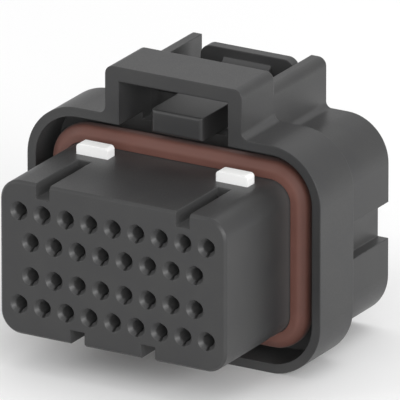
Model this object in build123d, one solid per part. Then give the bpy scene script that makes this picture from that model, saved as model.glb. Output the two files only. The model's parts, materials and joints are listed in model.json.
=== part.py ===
from build123d import *
import os
from math import cos, pi, sin, sqrt

# A rectangular 34-way sealed connector socket, in millimetres.
# X runs along the contact rows, Y runs into the part from its mating face, Z is up.
# The origin is the centre of the mating face. A depth is a distance along Y from that face.

# Contact field: two outer rows of nine and two inner rows of eight, set half a pitch over
contact_pitch = 3.0
outer_row_ways = 9
inner_row_ways = 8
middle_row_spacing = 4.0
outer_row_spacing = 3.5

# Core block, the tongue that the mating half slides over
core_side_margin = 2.45
core_top_margin = 3.55
core_corner_radius = 2.5
core_edge_chamfer = 0.3

# Contact entries in the mating face
lead_in_radius = 1.13
lead_in_depth = 0.54
lead_in_sides = 24
lead_in_overrun = 0.06
entry_radius = 0.72
front_wall = 2.6
probe_slot_width = 0.38
probe_slot_reach = 1.1

# Polarising keyways along the core
key_length = 9.3
top_key_offset = 8.95
top_key_width = 1.8
top_key_depth = 1.73
bottom_key_offset = 4.52
bottom_key_width = 1.85
bottom_key_depth = 1.68

# Hood around the core
hood_gap = 3.26
hood_wall = 1.1
hood_corner_radius = 6.4
rim_depth = 13.42
gap_floor_depth = 18.7
hood_rear_depth = 20.85

# Rear body and the pocket for the wire seal and its cover
pocket_side_margin = 3.52
pocket_top_margin = 4.65
pocket_bottom_margin = 5.55
rear_wall = 1.25
rear_corner_radius = 5.2
pocket_floor_depth = 22.4
channel_depth = 1.34
channel_height = 4.3
channel_centre = -0.55

# Latch bridge over the lever's nose, and the guard walls beside the lever
latch_half_gap = 7.0
latch_wall = 1.75
bridge_height = 5.74
bridge_roof = 1.7
bridge_rear_depth = 20.6
bridge_edge_radius = 1.0
bridge_foot_radius = 0.85
guard_height = 5.85
left_guard_wall = 1.48
left_guard_edge_radius = 0.5
right_guard_wall = 1.9
right_guard_edge_radius = 1.0
guard_foot_radius = 0.7

# Latch lever
lever_width = 6.56
lever_rear_width = 6.1
nose_front_depth = 14.07
nose_length = 2.6
nose_lift = 2.88
nose_height = 2.72
nose_edge_radius = 0.35
nose_side_radius = 0.5
rail_width = 0.9
catch_length = 3.2
root_setback = 1.9
lever_thickness = 1.5
ramp_length = 2.6
ramp_height = 1.4
ramp_bend_reach = 1.56
ramp_bend_rise = 0.392
pad_width = 12.0
pad_setback = 1.2
pad_thickness = 1.3
pad_height = 3.95
pad_corner_radius = 1.3
hinge_setback = 2.6
hinge_bar_radius = 0.6
hinge_end_gap = 0.03

# Secondary lock plate, drawn in its unlocked place with its two heads standing proud
lock_depth = 10.85
lock_thickness = 1.55
lock_clearance = 0.05
lock_travel = 1.2
lock_side_margin = 1.75
lock_top_bar = 1.0
lock_window_clearance = 0.15
head_offset = 8.96
head_width = 4.04
head_rise = 1.25
head_corner_radius = 0.45

# Interface seal on the core, inside the hood
seal_front_depth = 14.2
seal_clearance = 0.05
seal_band = 0.96
seal_lip_rise = 1.03
seal_lip_length = 2.0
seal_lip_slant = 0.65

# Wire seal, a mat with one hole for each wire
wire_seal_thickness = 5.0
wire_seal_clearance = 0.05
wire_seal_hole_radius = 0.7

# Rear cover that holds the wire seal in its pocket
cover_plate = 2.4
cover_clearance = 0.1
cover_rim = 1.1
cover_rim_length = 2.15
cover_setback = 0.4
snap_width = 5.0
snap_offset = 7.5
snap_rise = 0.4
snap_length = 1.2

# Socket contacts, formed from strip
contact_width = 2.0
contact_height = 2.2
contact_box_end = 10.65
contact_strip = 0.25
contact_clearance = 0.1
contact_setback = 0.05
crimp_start = 13.4
crimp_end = 20.4
crimp_wing_height = 1.7

# How near an edge's place must be to the one that is asked for
edge_tolerance = 0.001

# Places that follow from the sizes above
inner_row_height = middle_row_spacing / 2
outer_row_height = inner_row_height + outer_row_spacing
field_half_width = (outer_row_ways - 1) / 2 * contact_pitch
core_half_width = field_half_width + core_side_margin
core_half_height = outer_row_height + core_top_margin
hood_half_width = core_half_width + hood_gap + hood_wall
hood_half_height = core_half_height + hood_gap + hood_wall
pocket_half_width = field_half_width + pocket_side_margin
pocket_top = outer_row_height + pocket_top_margin
pocket_bottom = -outer_row_height - pocket_bottom_margin
rear_half_width = pocket_half_width + rear_wall
rear_top = pocket_top + rear_wall
rear_bottom = pocket_bottom - rear_wall
bridge_half_width = latch_half_gap + latch_wall
bridge_top = hood_half_height + bridge_height
guard_top = rear_top + guard_height
nose_bottom = core_half_height + nose_lift
lever_top = nose_bottom + nose_height
lever_bottom = lever_top - lever_thickness
pad_top = lever_bottom + pad_height
hinge_height = (lever_top + lever_bottom) / 2
lock_half_width = field_half_width + lock_side_margin
window_half_height = contact_height / 2 + lock_window_clearance
lock_top = outer_row_height + window_half_height + lock_top_bar
cover_front_depth = pocket_floor_depth + wire_seal_thickness + wire_seal_clearance
cover_rear_depth = cover_front_depth + cover_plate + cover_rim_length
rear_depth = cover_rear_depth + cover_setback
hinge_depth = bridge_rear_depth + hinge_setback
pad_front_depth = rear_depth - pad_setback - pad_thickness


def contact_rows():
    """Height and number of ways of each contact row, from the top."""
    return (
        (outer_row_height, outer_row_ways),
        (inner_row_height, inner_row_ways),
        (-inner_row_height, inner_row_ways),
        (-outer_row_height, outer_row_ways),
    )


def contact_places():
    """X and Z of every contact axis, row by row from the top."""
    places = []
    for height, ways in contact_rows():
        first = -(ways - 1) / 2 * contact_pitch
        places += [(first + way * contact_pitch, height) for way in range(ways)]
    return places


def section_plane(depth):
    """Plane across the part at a depth, facing the mating side, with its local Y up."""
    return Plane(origin=(0, depth, 0), x_dir=(1, 0, 0), z_dir=(0, -1, 0))


def block(left, right, front, rear, bottom, top):
    """Box between two limits on each axis."""
    centre = Pos((left + right) / 2, (front + rear) / 2, (bottom + top) / 2)
    return centre * Box(right - left, rear - front, top - bottom)


def rounded_bar(half_width, bottom, top, radius, front, rear):
    """Bar along Y with a rounded-rectangle section."""
    outline = RectangleRounded(2 * half_width, top - bottom, radius)
    section = section_plane(rear) * Pos(0, (bottom + top) / 2) * outline
    return extrude(section, rear - front)


def edges_at_depth(solid, depth):
    """Edges that lie in one plane across the part."""
    return solid.edges().filter_by_position(Axis.Y, depth - edge_tolerance, depth + edge_tolerance)


def long_edges(solid, x, z):
    """Edges along Y that pass through one X and Z."""
    along = solid.edges().filter_by(Axis.Y)
    beside = along.filter_by_position(Axis.X, x - edge_tolerance, x + edge_tolerance)
    return beside.filter_by_position(Axis.Z, z - edge_tolerance, z + edge_tolerance)


def both_sides(half):
    """A shape and its mirror image in the plane X = 0."""
    return half + mirror(half, Plane.YZ)


def pocket_outline(shrink, front, rear):
    """Solid that fills the rear pocket, less a clearance all round.

    The pocket steps in behind the two side channels, so that the wall keeps its thickness.
    """
    filling = rounded_bar(
        pocket_half_width - shrink,
        pocket_bottom + shrink,
        pocket_top - shrink,
        rear_corner_radius - rear_wall - shrink,
        front,
        rear,
    )
    step = rear_half_width - channel_depth - rear_wall - shrink
    reach = channel_height / 2 + rear_wall + shrink
    notch = block(step, rear_half_width, front, rear, channel_centre - reach, channel_centre + reach)
    return filling - both_sides(notch)


def make_core():
    """Core block with its eased front edge and its four keyways."""
    core = rounded_bar(
        core_half_width,
        -core_half_height,
        core_half_height,
        core_corner_radius,
        0,
        pocket_floor_depth,
    )
    core = chamfer(edges_at_depth(core, 0), core_edge_chamfer)
    top_key = block(
        top_key_offset - top_key_width / 2,
        top_key_offset + top_key_width / 2,
        0,
        key_length,
        core_half_height - top_key_depth,
        core_half_height,
    )
    bottom_key = block(
        bottom_key_offset - bottom_key_width / 2,
        bottom_key_offset + bottom_key_width / 2,
        0,
        key_length,
        -core_half_height,
        bottom_key_depth - core_half_height,
    )
    return core - both_sides(top_key) - both_sides(bottom_key)


def make_hood():
    """Open-fronted hood, with the floor that joins it to the core."""
    outer = rounded_bar(
        hood_half_width,
        -hood_half_height,
        hood_half_height,
        hood_corner_radius,
        rim_depth,
        hood_rear_depth,
    )
    inner = rounded_bar(
        hood_half_width - hood_wall,
        hood_wall - hood_half_height,
        hood_half_height - hood_wall,
        hood_corner_radius - hood_wall,
        rim_depth,
        gap_floor_depth,
    )
    return outer - inner


def make_rear_body():
    """Rear body with a guide channel along each side."""
    body = rounded_bar(
        rear_half_width,
        rear_bottom,
        rear_top,
        rear_corner_radius,
        gap_floor_depth,
        rear_depth,
    )
    channel = block(
        rear_half_width - channel_depth,
        rear_half_width,
        hood_rear_depth,
        rear_depth,
        channel_centre - channel_height / 2,
        channel_centre + channel_height / 2,
    )
    return body - both_sides(channel)


def make_bridge():
    """Bridge across the latch, standing on the hood."""
    foot = hood_half_height - hood_wall
    bridge = block(
        -bridge_half_width,
        bridge_half_width,
        rim_depth,
        bridge_rear_depth,
        foot,
        bridge_top,
    )
    for side in (-1, 1):
        upper = long_edges(bridge, side * bridge_half_width, bridge_top)
        bridge = fillet(upper, bridge_edge_radius)
    return bridge


def make_guards():
    """Two walls that carry on from the bridge's legs to the rear of the body."""
    guards = []
    walls = ((-1, left_guard_wall, left_guard_edge_radius), (1, right_guard_wall, right_guard_edge_radius))
    for side, wall, edge_radius in walls:
        faces = sorted((side * bridge_half_width, side * (bridge_half_width - wall)))
        guard = block(*faces, bridge_rear_depth, rear_depth, rear_top - rear_wall, guard_top)
        upper = long_edges(guard, side * bridge_half_width, guard_top)
        guards.append(fillet(upper, edge_radius))
    return guards[0] + guards[1]


def foot_flare(radius, front, rear, ground):
    """Concave flare that runs along the foot of each latch wall."""
    corner = (bridge_half_width, ground)
    tip = (bridge_half_width + radius, ground)
    rise = (bridge_half_width, ground + radius)
    lean = radius * (1 - 1 / sqrt(2))
    middle = (bridge_half_width + lean, ground + lean)
    outline = Line(rise, corner) + Line(corner, tip) + ThreePointArc(tip, middle, rise)
    section = section_plane(rear) * make_face(outline)
    return both_sides(extrude(section, rear - front))


def chamber(front, rear):
    """Straight way for one contact between two depths, on the contact's own axis."""
    half_width = contact_width / 2 + contact_clearance
    half_height = contact_height / 2 + contact_clearance
    return block(-half_width, half_width, front, rear, -half_height, half_height)


def ring_corners(radius, depth):
    """Corners of a many-sided ring round a contact axis, at one depth."""
    turns = [2 * pi * side / lead_in_sides for side in range(lead_in_sides)]
    return [(radius * cos(turn), depth, radius * sin(turn)) for turn in turns]


def lead_in():
    """Entry funnel with flat sides, which keep the 34 of them light; it runs on into the bore."""
    slope = lead_in_depth / (lead_in_radius - entry_radius)
    end_radius = entry_radius - lead_in_overrun
    end_depth = slope * (lead_in_radius - end_radius)
    return ConvexPolyhedron(ring_corners(lead_in_radius, 0) + ring_corners(end_radius, end_depth))


def contact_cavities():
    """Entry funnel, bore, probe slots and chamber of every way."""
    bore = Pos(0, front_wall / 2, 0) * Rot(-90, 0, 0) * Cylinder(entry_radius, front_wall)
    slot = block(
        -probe_slot_width / 2,
        probe_slot_width / 2,
        0,
        front_wall,
        -probe_slot_reach,
        probe_slot_reach,
    )
    cavity = lead_in() + bore + slot + chamber(front_wall, pocket_floor_depth)
    return [Pos(x, 0, z) * cavity for x, z in contact_places()]


def lock_slot():
    """Slot for the secondary lock, open below, with two openings on top for its heads."""
    front = lock_depth - lock_clearance
    rear = lock_depth + lock_thickness + lock_clearance
    half_width = lock_half_width + lock_clearance
    slot = block(
        -half_width,
        half_width,
        front,
        rear,
        -core_half_height,
        lock_top + lock_clearance,
    )
    half_head = head_width / 2 + lock_clearance
    opening = block(
        head_offset - half_head,
        head_offset + half_head,
        front,
        rear,
        lock_top,
        core_half_height,
    )
    return slot + both_sides(opening)


def snap_blocks(grow):
    """Four snap ridges on the rear cover, or with a clearance the recesses that take them."""
    middle = (cover_front_depth + cover_plate + cover_rear_depth) / 2
    front = middle - snap_length / 2 - grow
    rear = middle + snap_length / 2 + grow
    left = snap_offset - snap_width / 2 - grow
    right = snap_offset + snap_width / 2 + grow
    root = cover_clearance + cover_rim / 2
    upper = block(left, right, front, rear, pocket_top - root, pocket_top + snap_rise + grow)
    lower = block(
        left,
        right,
        front,
        rear,
        pocket_bottom - snap_rise - grow,
        pocket_bottom + root,
    )
    return both_sides(upper + lower)


def make_housing():
    """The housing, one moulding: core, hood, bridge, guards and rear body."""
    housing = make_core() + make_hood() + make_rear_body() + make_bridge() + make_guards()
    housing += foot_flare(bridge_foot_radius, rim_depth, hood_rear_depth, hood_half_height)
    housing += foot_flare(guard_foot_radius, hood_rear_depth, rear_depth, rear_top)
    housing -= block(
        -latch_half_gap,
        latch_half_gap,
        rim_depth,
        bridge_rear_depth,
        rear_top,
        bridge_top - bridge_roof,
    )
    housing -= block(
        left_guard_wall - bridge_half_width,
        bridge_half_width - right_guard_wall,
        bridge_rear_depth,
        hood_rear_depth,
        rear_top,
        hood_half_height,
    )
    housing -= pocket_outline(0, pocket_floor_depth, rear_depth)
    housing -= snap_blocks(cover_clearance)
    housing -= lock_slot()
    return housing - contact_cavities()


def lever_profile():
    """Side outline of the lever's arm, from the nose in front to the pad at the rear."""
    root = hinge_depth - root_setback
    pad_rear = pad_front_depth + pad_thickness
    ramp_start = pad_front_depth - ramp_length
    ramp_end = lever_top + ramp_height
    outline = FilletPolyline(
        (root, nose_bottom),
        (nose_front_depth, nose_bottom),
        (nose_front_depth, lever_top),
        (ramp_start, lever_top),
        radius=nose_edge_radius,
    )
    ramp_middle = (ramp_start + ramp_bend_reach, lever_top + ramp_bend_rise)
    outline += ThreePointArc((ramp_start, lever_top), ramp_middle, (pad_front_depth, ramp_end))
    outline += Polyline(
        (pad_front_depth, ramp_end),
        (pad_front_depth, pad_top),
        (pad_rear, pad_top),
        (pad_rear, lever_bottom),
        (root + nose_height - lever_thickness, lever_bottom),
        (root, nose_bottom),
    )
    return make_face(outline)


def lever_plan():
    """Outline of the lever's arm from above, with round corners at the nose."""
    front_half = lever_width / 2
    rear_half = lever_rear_width / 2
    pad_rear = pad_front_depth + pad_thickness
    plan = make_face(Polyline(
        (-front_half, nose_front_depth),
        (front_half, nose_front_depth),
        (front_half, hinge_depth),
        (rear_half, pad_front_depth),
        (rear_half, pad_rear),
        (-rear_half, pad_rear),
        (-rear_half, pad_front_depth),
        (-front_half, hinge_depth),
        (-front_half, nose_front_depth),
    ))
    return fillet(plan.vertices().sort_by(Axis.Y)[:2], nose_side_radius)


def make_lever():
    """Latch lever: catch nose in front, hinge bars at the middle, thumb pad at the rear."""
    side_plane = Plane(origin=(-lever_width / 2, 0, 0), x_dir=(0, 1, 0), z_dir=(1, 0, 0))
    arm = extrude(side_plane * lever_profile(), lever_width)
    arm &= Pos(0, 0, nose_bottom) * extrude(lever_plan(), pad_top - nose_bottom)
    catch_front = nose_front_depth + nose_length
    arm -= block(
        rail_width - lever_width / 2,
        lever_width / 2 - rail_width,
        catch_front,
        catch_front + catch_length,
        nose_bottom,
        lever_bottom,
    )
    pad = block(
        -pad_width / 2,
        pad_width / 2,
        pad_front_depth,
        pad_front_depth + pad_thickness,
        lever_bottom,
        pad_top,
    )
    for side in (-1, 1):
        upper = pad.edges().filter_by(Axis.Y).sort_by(Axis.Z)[-2:].sort_by(Axis.X)
        corner = upper[0] if side < 0 else upper[-1]
        pad = fillet(corner, pad_corner_radius)
    bar_left = left_guard_wall + hinge_end_gap - bridge_half_width
    bar_right = bridge_half_width - right_guard_wall - hinge_end_gap
    bar = Rot(0, 90, 0) * Cylinder(hinge_bar_radius, bar_right - bar_left)
    return arm + pad + Pos((bar_left + bar_right) / 2, hinge_depth, hinge_height) * bar


def make_lock():
    """Secondary lock: a windowed plate with two heads that reach out above the core."""
    rear = lock_depth + lock_thickness
    foot = lock_travel - core_half_height
    plate = block(-lock_half_width, lock_half_width, lock_depth, rear, foot, lock_top)
    head = block(
        head_offset - head_width / 2,
        head_offset + head_width / 2,
        lock_depth,
        rear,
        lock_top - lock_top_bar / 2,
        core_half_height + head_rise,
    )
    upper = head.edges().filter_by(Axis.Y).sort_by(Axis.Z)[-2:]
    plate += both_sides(fillet(upper, head_corner_radius))
    for height, ways in contact_rows():
        reach = (ways - 1) / 2 * contact_pitch + contact_width / 2 + lock_window_clearance
        low = height - window_half_height
        high = height + window_half_height
        plate -= block(-reach, reach, lock_depth, rear, low, high)
    return plate


def seal_ring(rise, front, rear):
    """Plain ring round the core, with its outer face at a height above the core."""
    return rounded_bar(
        core_half_width + rise,
        -core_half_height - rise,
        core_half_height + rise,
        core_corner_radius + rise,
        front,
        rear,
    )


def make_interface_seal():
    """Interface seal: a band round the core with one tall lip, slanted in front."""
    rear = gap_floor_depth - seal_clearance
    band = seal_ring(seal_band, seal_front_depth, rear)
    lip = seal_ring(seal_band + seal_lip_rise, seal_front_depth, seal_front_depth + seal_lip_length)
    front_face = lip.faces().sort_by(Axis.Y)[0]
    lip = chamfer(front_face.edges(), seal_lip_rise, seal_lip_slant, reference=front_face)
    return band + lip - seal_ring(seal_clearance, seal_front_depth, rear)


def make_wire_seal():
    """Wire seal: a soft mat with an eight-sided opening for each wire."""
    front = pocket_floor_depth + wire_seal_clearance
    rear = pocket_floor_depth + wire_seal_thickness
    mat = pocket_outline(wire_seal_clearance, front, rear)
    opening = RegularPolygon(wire_seal_hole_radius, 8)
    openings = Sketch() + [Pos(x, z) * opening for x, z in contact_places()]
    return mat - extrude(section_plane(rear) * openings, rear - front)


def make_rear_cover():
    """Rear cover: a plate with an opening for each contact, a stiff rim and four snap ridges."""
    plate_rear = cover_front_depth + cover_plate
    cover = pocket_outline(cover_clearance, cover_front_depth, cover_rear_depth)
    cover -= pocket_outline(cover_clearance + cover_rim, plate_rear, cover_rear_depth)
    cover += snap_blocks(0)
    opening = chamber(cover_front_depth, plate_rear)
    return cover - [Pos(x, 0, z) * opening for x, z in contact_places()]


def make_contact():
    """Socket contact on its own axis: box, strip and open crimp barrel."""
    half_width = contact_width / 2
    half_height = contact_height / 2
    front = front_wall + contact_setback
    box = block(-half_width, half_width, front, contact_box_end, -half_height, half_height)
    box -= block(
        contact_strip - half_width,
        half_width - contact_strip,
        front,
        contact_box_end - contact_strip,
        contact_strip - half_height,
        half_height - contact_strip,
    )
    strip_top = contact_strip - half_height
    strip = block(-half_width, half_width, contact_box_end, crimp_end, -half_height, strip_top)
    wing_top = crimp_wing_height - half_height
    wing = block(half_width - contact_strip, half_width, crimp_start, crimp_end, -half_height, wing_top)
    return box + strip + both_sides(wing)


def write_part(name, shape):
    """Write one piece to its own file."""
    export_step(shape, f"parts/{name}.step")


def main():
    os.makedirs("parts", exist_ok=True)
    write_part("housing", make_housing())
    write_part("latch_lever", make_lever())
    write_part("secondary_lock", make_lock())
    write_part("interface_seal", make_interface_seal())
    write_part("wire_seal", make_wire_seal())
    write_part("rear_cover", make_rear_cover())
    contact = make_contact()
    for number, (x, z) in enumerate(contact_places(), start=1):
        write_part(f"contact_{number:02d}", Pos(x, 0, z) * contact)


main()
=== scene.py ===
import json
from math import cos, pi, radians, sin

import bmesh
import bpy
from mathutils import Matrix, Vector

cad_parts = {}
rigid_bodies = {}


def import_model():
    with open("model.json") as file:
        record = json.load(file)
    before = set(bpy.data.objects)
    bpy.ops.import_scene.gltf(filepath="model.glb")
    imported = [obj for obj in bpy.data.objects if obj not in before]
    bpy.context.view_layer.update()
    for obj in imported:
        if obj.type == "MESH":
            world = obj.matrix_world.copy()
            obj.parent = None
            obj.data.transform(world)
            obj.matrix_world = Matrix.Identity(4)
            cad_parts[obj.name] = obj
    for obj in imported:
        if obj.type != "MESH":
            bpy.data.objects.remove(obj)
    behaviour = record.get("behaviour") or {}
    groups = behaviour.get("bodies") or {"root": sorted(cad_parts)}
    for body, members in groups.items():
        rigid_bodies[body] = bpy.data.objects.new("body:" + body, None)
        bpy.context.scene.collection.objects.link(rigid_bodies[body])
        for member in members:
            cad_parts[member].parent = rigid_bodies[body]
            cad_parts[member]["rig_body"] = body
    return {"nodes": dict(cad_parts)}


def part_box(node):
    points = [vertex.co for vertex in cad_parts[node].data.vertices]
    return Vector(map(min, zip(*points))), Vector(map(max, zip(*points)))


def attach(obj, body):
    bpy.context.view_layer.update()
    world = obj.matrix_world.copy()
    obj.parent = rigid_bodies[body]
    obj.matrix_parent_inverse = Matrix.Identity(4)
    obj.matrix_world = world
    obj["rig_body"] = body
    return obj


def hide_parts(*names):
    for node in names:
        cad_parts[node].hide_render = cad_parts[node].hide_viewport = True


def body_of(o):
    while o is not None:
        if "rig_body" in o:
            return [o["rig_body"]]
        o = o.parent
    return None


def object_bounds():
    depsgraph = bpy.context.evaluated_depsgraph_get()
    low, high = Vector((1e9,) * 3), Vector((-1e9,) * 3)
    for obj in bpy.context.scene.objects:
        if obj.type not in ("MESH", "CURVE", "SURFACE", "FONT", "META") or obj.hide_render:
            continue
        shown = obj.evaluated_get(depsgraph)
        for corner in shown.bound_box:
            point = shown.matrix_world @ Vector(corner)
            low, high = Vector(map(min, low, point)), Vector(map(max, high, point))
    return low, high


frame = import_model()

# The imported CAD model's box, which sets the floor's height
cad_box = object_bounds()

# Every length below is in metres, apart from the camera's lens and sensor

# Contact field: the pitch of the ways, and each row's height and number of ways
contact_pitch = 0.0030
contact_rows = ((0.0055, 9), (0.0020, 8), (-0.0020, 8), (-0.0055, 9))

# Core block, which the interface seal sits on and the secondary lock lies in
core_half_width = 0.01445
core_half_height = 0.00905
core_corner_radius = 0.0025

# Interface seal, as distances out from the core's surface and along its depth
seal_fit = 0.00005
seal_band = 0.00096
lip_slant = 0.00065
lip_length = 0.0020
crest_ease = 0.00045
foot_ease = 0.00025
edge_ease = 0.00006
ease_steps = 6
corner_steps = 20

# Wire seal: a round rubber lip in the mouth of each wire hole
wire_lip_radius = 0.00063
wire_lip_thickness = 0.00013
wire_lip_depth = 0.00020
wire_lip_steps = 32
wire_lip_section_steps = 10

# Secondary lock: its plate keeps within the core's round lower corners when it is pressed in
lock_travel = 0.0012
lock_corner_cuts = 9
merge_distance = 0.000001

# Edges that a mould or a press tool leaves slightly round
moulded_edge = 0.00020
rubber_edge = 0.00008
strip_edge = 0.00003
edge_samples = 6

# Noise textures, as waves per metre, detail and roughness
flow_clouds = (260, 3, 0.5)
moulded_grain = (9000, 2, 0.6)
rubber_bloom = (420, 4, 0.5)
rubber_pits = (7000, 2, 0.5)
plating_clouds = (900, 4, 0.6)
strip_grain = (12000, 2, 0.5)

# Stretches of the noise that colours, pits and roughness follow
cloud_span = (0.35, 0.65)
pit_span = (0.30, 0.48)
rough_span = (0.30, 0.70)
whole_span = (0, 1)

# Relief that the noise gives a surface, as height in metres and strength
flow_relief = (0.00002, 0.25)
grain_relief = (0.000006, 0.35)
rubber_relief = (0.000006, 0.3)
strip_relief = (0.000003, 0.3)

# Colours, in pairs that the clouds blend between
dark_colours = ((0.024, 0.024, 0.025), (0.028, 0.028, 0.028))
white_colours = ((0.97, 0.97, 0.96), (0.95, 0.95, 0.94))
brick_colours = ((0.128, 0.051, 0.038), (0.142, 0.058, 0.044))
tin_colours = ((0.52, 0.51, 0.49), (0.44, 0.43, 0.42))

# Plastic's finish: how dark its pits are, how rough it is and how far that varies
dark_pitting = 0.85
white_pitting = 0.98
dark_roughness = 0.42
white_roughness = 0.38
roughness_swing = 0.06
plastic_ior = 1.5

# Painted light in the plastic's hollows: the reach of the walls round a point, and how many
# times paler the colour is painted there in place of fill light
painted_light_reach = 0.004
painted_light_lift = 3.2
hollow_samples = 8

# Finish of the rubber and of the plated strip
rubber_roughness = (0.50, 0.62)
rubber_ior = 1.42
rubber_sheen = 0.12
rubber_sheen_roughness = 0.5
strip_roughness = (0.32, 0.48)

# Places of the colour sockets on a Mix node
mix_inputs = (6, 7)
mix_output = 2

# Camera: a long lens at the photograph's angle, framed on a point beside the mating face
view_azimuth = radians(30)
view_elevation = radians(20)
view_width = 0.04454
view_right = 0.009682
view_up = 0.008429
view_depth = 0.013
lens_mm = 1400
sensor_mm = 36
near_clip_share = 0.1
far_clip_share = 2

# Floor
floor_half_size = 3.0
floor_colour = (0.93, 0.93, 0.93)
floor_roughness = 0.9

# Light: the surroundings' strength as they light the part and as they are seen
lighting_strength = 0.62
backdrop_strength = 1

# Soft square lamps, as name, place, size and watts, all aimed at one point of the part
lamps = (
    ("key_lamp", (0.10, 0.20, 0.70), 0.60, 1.45),
    ("front_lamp", (0.60, -0.78, 0.32), 0.50, 2.8),
    ("right_lamp", (0.95, -0.30, 0.30), 0.50, 5.3),
    ("left_lamp", (-0.70, -0.60, 0.50), 0.50, 2.2),
)
lamp_aim = Vector((0, 0.015, 0))


class Shader:
    """A material's node tree, with a short call for each kind of node that it uses."""

    def __init__(self, name):
        self.material = bpy.data.materials.new(name)
        self.material.use_nodes = True
        self.tree = self.material.node_tree
        self.surface = self.tree.nodes["Principled BSDF"]

    def node(self, kind, **settings):
        """New node with its settings."""
        made = self.tree.nodes.new(kind)
        for key, value in settings.items():
            setattr(made, key, value)
        return made

    def link(self, output, target):
        """Connect an output to an input."""
        self.tree.links.new(output, target)

    def feed(self, name, output):
        """Connect an output to one of the surface's own inputs."""
        self.link(output, self.surface.inputs[name])

    def noise(self, scale, detail, roughness):
        """Noise on the object's own coordinates."""
        place = self.node("ShaderNodeTexCoord")
        texture = self.node("ShaderNodeTexNoise")
        texture.inputs["Scale"].default_value = scale
        texture.inputs["Detail"].default_value = detail
        texture.inputs["Roughness"].default_value = roughness
        self.link(place.outputs["Object"], texture.inputs["Vector"])
        return texture.outputs["Fac"]

    def remap(self, value, span, new_span):
        """Value stretched from one span to another."""
        stretch = self.node("ShaderNodeMapRange")
        ends = ("From Min", "From Max", "To Min", "To Max")
        for end, level in zip(ends, span + new_span):
            stretch.inputs[end].default_value = level
        self.link(value, stretch.inputs["Value"])
        return stretch.outputs["Result"]

    def blend(self, factor, first, second):
        """Mix of two colours, each one either fixed or another node's output."""
        mix = self.node("ShaderNodeMix", data_type="RGBA")
        self.link(factor, mix.inputs["Factor"])
        for place, colour in zip(mix_inputs, (first, second)):
            if isinstance(colour, tuple):
                mix.inputs[place].default_value = (*colour, 1)
            else:
                self.link(colour, mix.inputs[place])
        return mix.outputs[mix_output]

    def mottled(self, clouds, colours):
        """Two colours in soft clouds."""
        first, second = colours
        return self.blend(self.remap(clouds, cloud_span, whole_span), first, second)

    def rounded(self, radius):
        """Normal that looks rounded at sharp edges."""
        bevel = self.node("ShaderNodeBevel", samples=edge_samples)
        bevel.inputs["Radius"].default_value = radius
        return bevel.outputs["Normal"]

    def openness(self, reach):
        """One on open faces, falling towards nought deep in a hollow; the mask of the painted
        light in hollows.
        """
        cover = self.node("ShaderNodeAmbientOcclusion", samples=hollow_samples)
        cover.inputs["Distance"].default_value = reach
        return cover.outputs["AO"]

    def bump(self, height, relief, normal):
        """Normal pushed about by a height."""
        distance, strength = relief
        bump = self.node("ShaderNodeBump")
        bump.inputs["Distance"].default_value = distance
        bump.inputs["Strength"].default_value = strength
        self.link(height, bump.inputs["Height"])
        self.link(normal, bump.inputs["Normal"])
        return bump.outputs["Normal"]


def plastic(name, colours, pitting, roughness):
    """Moulded plastic: fine spark-eroded grain, faint flow clouds, slightly round edges and
    painted light that makes its hollows paler.
    """
    shader = Shader(name)
    clouds = shader.noise(*flow_clouds)
    grain = shader.noise(*moulded_grain)
    shade = colours[1]
    pitted = tuple(pitting * part for part in shade)
    pit = shader.remap(grain, pit_span, whole_span)
    worn = shader.blend(pit, pitted, shader.mottled(clouds, colours))
    # Painted light: the colour turns paler deep in hollows and crevices, standing in for the
    # fill light that reaches them
    painted_hollow_light = tuple(min(painted_light_lift * part, 1) for part in shade)
    shader.feed("Base Color", shader.blend(shader.openness(painted_light_reach), painted_hollow_light, worn))
    rough_ends = (roughness + roughness_swing, roughness - roughness_swing)
    shader.feed("Roughness", shader.remap(grain, rough_span, rough_ends))
    waves = shader.bump(clouds, flow_relief, shader.rounded(moulded_edge))
    shader.feed("Normal", shader.bump(grain, grain_relief, waves))
    shader.surface.inputs["IOR"].default_value = plastic_ior
    return shader.material


def silicone(name, colours):
    """Silicone rubber: even and satin, with a faint bloom and very fine pits."""
    shader = Shader(name)
    bloom = shader.noise(*rubber_bloom)
    pits = shader.noise(*rubber_pits)
    shader.feed("Base Color", shader.mottled(bloom, colours))
    shader.feed("Roughness", shader.remap(bloom, rough_span, rubber_roughness))
    shader.feed("Normal", shader.bump(pits, rubber_relief, shader.rounded(rubber_edge)))
    shader.surface.inputs["IOR"].default_value = rubber_ior
    shader.surface.inputs["Sheen Weight"].default_value = rubber_sheen
    shader.surface.inputs["Sheen Roughness"].default_value = rubber_sheen_roughness
    return shader.material


def tinned_strip(name, colours):
    """Tin-plated contact strip: satin metal with a cloudy plating."""
    shader = Shader(name)
    clouds = shader.noise(*plating_clouds)
    grain = shader.noise(*strip_grain)
    shader.feed("Base Color", shader.mottled(clouds, colours))
    shader.feed("Roughness", shader.remap(clouds, rough_span, strip_roughness))
    shader.feed("Normal", shader.bump(grain, strip_relief, shader.rounded(strip_edge)))
    shader.surface.inputs["Metallic"].default_value = 1
    return shader.material


def dress(node, material):
    """Give a CAD node its material."""
    for slot in frame["nodes"][node].material_slots:
        slot.material = material


def add_object(name, data):
    """New object in the scene."""
    made = bpy.data.objects.new(name, data)
    bpy.context.scene.collection.objects.link(made)
    return made


def add_piece(name, mesh, material, body):
    """Visible piece that rides on a body."""
    piece = add_object(name, mesh)
    mesh.materials.append(material)
    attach(piece, body)
    return piece


def skin(build, rings):
    """Faces between each closed ring of points and the next, and from the last to the first."""
    for first, second in zip(rings, rings[1:] + rings[:1]):
        count = len(first)
        for place in range(count):
            after = (place + 1) % count
            build.faces.new((first[place], first[after], second[after], second[place]))


def smooth_mesh(build, name):
    """Mesh with its faces turned outwards and shaded smooth."""
    bmesh.ops.recalc_face_normals(build, faces=build.faces)
    mesh = bpy.data.meshes.new(name)
    build.to_mesh(mesh)
    build.free()
    mesh.shade_smooth()
    return mesh


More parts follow.
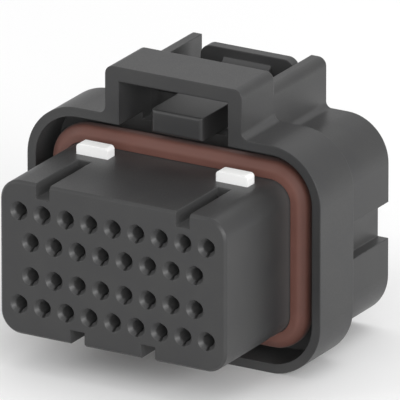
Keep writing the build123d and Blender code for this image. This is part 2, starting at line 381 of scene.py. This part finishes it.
def rounded_outline(half_width, half_height, radius):
    """Points round a rectangle with round corners, as X and Z."""
    points = []
    corners = ((1, 1, 0), (-1, 1, 90), (-1, -1, 180), (1, -1, 270))
    for side, level, start in corners:
        centre_x = side * (half_width - radius)
        centre_z = level * (half_height - radius)
        for step in range(corner_steps + 1):
            turn = radians(start + 90 * step / corner_steps)
            points.append((centre_x + radius * cos(turn), centre_z + radius * sin(turn)))
    return points


def eased(corners):
    """Closed section with every corner rounded; a corner is distance out, depth and ease."""
    section = []
    for place, (out, depth, ease) in enumerate(corners):
        corner = Vector((out, depth))
        before = Vector(corners[place - 1][:2])
        after = Vector(corners[(place + 1) % len(corners)][:2])
        start = corner + (before - corner).normalized() * ease
        end = corner + (after - corner).normalized() * ease
        for step in range(ease_steps + 1):
            share = step / ease_steps
            section.append(start.lerp(corner, share).lerp(corner.lerp(end, share), share))
    return section


def seal_section():
    """Section of the interface seal: a band with one tall lip, slanted in front."""
    crest = seal_reach - core_half_width
    lip_rear = seal_front + lip_length
    return eased([
        (seal_fit, seal_front, edge_ease),
        (seal_band, seal_front, foot_ease),
        (crest, seal_front + lip_slant, crest_ease),
        (crest, lip_rear, crest_ease),
        (seal_band, lip_rear, foot_ease),
        (seal_band, seal_rear, edge_ease),
        (seal_fit, seal_rear, edge_ease),
    ])


def add_interface_seal(material):
    """Interface seal, its section carried round the core."""
    build = bmesh.new()
    rings = []
    for out, depth in seal_section():
        outline = rounded_outline(
            core_half_width + out,
            core_half_height + out,
            core_corner_radius + out,
        )
        rings.append([build.verts.new((x, depth, z)) for x, z in outline])
    skin(build, rings)
    mesh = smooth_mesh(build, "interface_seal_mesh")
    seal = add_piece("interface_seal_rubber", mesh, material, root_body)
    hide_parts("interface_seal")


def add_lock(material):
    """The lock's own form, with the plate's lower corners rounded like the core's."""
    cad_lock = frame["nodes"]["secondary_lock"]
    build = bmesh.new()
    build.from_mesh(cad_lock.data)
    build.transform(cad_lock.matrix_world)
    bmesh.ops.remove_doubles(build, verts=build.verts, dist=merge_distance)
    centre_z = core_corner_radius - core_half_height + lock_travel
    for side in (-1, 1):
        centre = Vector((side * (core_half_width - core_corner_radius), 0, centre_z))
        for cut in range(lock_corner_cuts):
            turn = radians(90 * (cut + 0.5) / lock_corner_cuts)
            outward = Vector((side * sin(turn), 0, -cos(turn)))
            shape = build.verts[:] + build.edges[:] + build.faces[:]
            made = bmesh.ops.bisect_plane(
                build,
                geom=shape,
                plane_co=centre + core_corner_radius * outward,
                plane_no=outward,
                clear_outer=True,
            )
            rim = [part for part in made["geom_cut"] if isinstance(part, bmesh.types.BMEdge)]
            bmesh.ops.holes_fill(build, edges=rim)
    mesh = bpy.data.meshes.new("secondary_lock_mesh")
    build.to_mesh(mesh)
    build.free()
    lock = add_piece("secondary_lock_plate", mesh, material, lock_body)
    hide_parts("secondary_lock")


def contact_places():
    """X and Z of every contact axis."""
    places = []
    for height, ways in contact_rows:
        first = -(ways - 1) / 2 * contact_pitch
        places += [(first + way * contact_pitch, height) for way in range(ways)]
    return places


def lip_ring(x, z, around):
    """Points round a wire lip's section, at one angle round the wire."""
    ring = []
    for step in range(wire_lip_section_steps):
        turn = 2 * pi * step / wire_lip_section_steps
        reach = wire_lip_radius + wire_lip_thickness * cos(turn)
        depth = wire_seal_rear - wire_lip_depth + wire_lip_thickness * sin(turn)
        ring.append((x + reach * cos(around), depth, z + reach * sin(around)))
    return ring


def add_wire_lips(material):
    """Round lips that close the wire seal's holes on the wires."""
    build = bmesh.new()
    for x, z in contact_places():
        rings = []
        for step in range(wire_lip_steps):
            ring = lip_ring(x, z, 2 * pi * step / wire_lip_steps)
            rings.append([build.verts.new(point) for point in ring])
        skin(build, rings)
    mesh = smooth_mesh(build, "wire_lips_mesh")
    add_piece("wire_seal_lips", mesh, material, root_body)


def add_camera():
    """Camera at the photograph's angle and framing."""
    camera_data = bpy.data.cameras.new("view_camera")
    camera = add_object("view_camera", camera_data)
    bpy.context.scene.camera = camera
    camera_data.lens = lens_mm
    camera_data.sensor_width = sensor_mm
    back = Vector((
        sin(view_azimuth) * cos(view_elevation),
        -cos(view_azimuth) * cos(view_elevation),
        sin(view_elevation),
    ))
    right = Vector((cos(view_azimuth), sin(view_azimuth), 0))
    up = back.cross(right)
    distance = view_width * lens_mm / sensor_mm
    target = right * view_right + up * view_up - back * view_depth
    camera.rotation_mode = "QUATERNION"
    camera.rotation_quaternion = (-back).to_track_quat("-Z", "Y")
    camera.location = target + back * distance
    camera_data.clip_start = distance * near_clip_share
    camera_data.clip_end = distance * far_clip_share


def add_surroundings():
    """Even white surroundings that light the part less than they show."""
    world = bpy.data.worlds.new("studio")
    world.use_nodes = True
    bpy.context.scene.world = world
    tree = world.node_tree
    lighting = tree.nodes["Background"]
    lighting.inputs["Color"].default_value = (1, 1, 1, 1)
    lighting.inputs["Strength"].default_value = lighting_strength
    backdrop = tree.nodes.new("ShaderNodeBackground")
    backdrop.inputs["Strength"].default_value = backdrop_strength
    path = tree.nodes.new("ShaderNodeLightPath")
    shown = path.outputs["Is Camera Ray"]
    for ray in ("Is Glossy Ray", "Is Transmission Ray"):
        either = tree.nodes.new("ShaderNodeMath")
        either.operation = "MAXIMUM"
        tree.links.new(shown, either.inputs[0])
        tree.links.new(path.outputs[ray], either.inputs[1])
        shown = either.outputs[0]
    choose = tree.nodes.new("ShaderNodeMixShader")
    tree.links.new(shown, choose.inputs[0])
    tree.links.new(lighting.outputs[0], choose.inputs[1])
    tree.links.new(backdrop.outputs[0], choose.inputs[2])
    tree.links.new(choose.outputs[0], tree.nodes["World Output"].inputs["Surface"])


def add_lamp(name, place, size, power):
    """Square soft lamp aimed at the part."""
    lamp_data = bpy.data.lights.new(name, "AREA")
    lamp_data.size = size
    lamp_data.energy = power
    lamp = add_object(name, lamp_data)
    lamp.location = place
    lamp.rotation_mode = "QUATERNION"
    lamp.rotation_quaternion = (lamp_aim - Vector(place)).to_track_quat("-Z", "Y")


def add_floor():
    """Plain pale floor under the part."""
    mesh = bpy.data.meshes.new("floor_mesh")
    half = floor_half_size
    corners = [(-half, -half, 0), (half, -half, 0), (half, half, 0), (-half, half, 0)]
    mesh.from_pydata(corners, [], [(0, 1, 2, 3)])
    floor = add_object("studio_floor", mesh)
    floor.location = (0, 0, cad_box[0].z)
    shader = Shader("studio_floor_white")
    shader.surface.inputs["Base Color"].default_value = (*floor_colour, 1)
    shader.surface.inputs["Roughness"].default_value = floor_roughness
    shader.surface.inputs["Specular IOR Level"].default_value = 0.0
    mesh.materials.append(shader.material)


bpy.context.scene.view_settings.view_transform = "Standard"

root_body = body_of(frame["nodes"]["interface_seal"])[0]
lock_body = body_of(frame["nodes"]["secondary_lock"])[0]
seal_low, seal_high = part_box("interface_seal")
seal_front = seal_low.y
seal_rear = seal_high.y
seal_reach = seal_high.x
wire_seal_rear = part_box("wire_seal")[1].y

add_camera()
add_surroundings()
for lamp in lamps:
    add_lamp(*lamp)
add_floor()

housing_plastic = plastic("housing_plastic", dark_colours, dark_pitting, dark_roughness)
lock_plastic = plastic("lock_plastic", white_colours, white_pitting, white_roughness)
seal_rubber = silicone("seal_rubber", brick_colours)
contact_metal = tinned_strip("contact_metal", tin_colours)

for node in ("housing", "latch_lever", "rear_cover"):
    dress(node, housing_plastic)
dress("wire_seal", seal_rubber)
for node in frame["nodes"]:
    if node.startswith("contact_"):
        dress(node, contact_metal)
add_interface_seal(seal_rubber)
add_wire_lips(seal_rubber)
add_lock(lock_plastic)
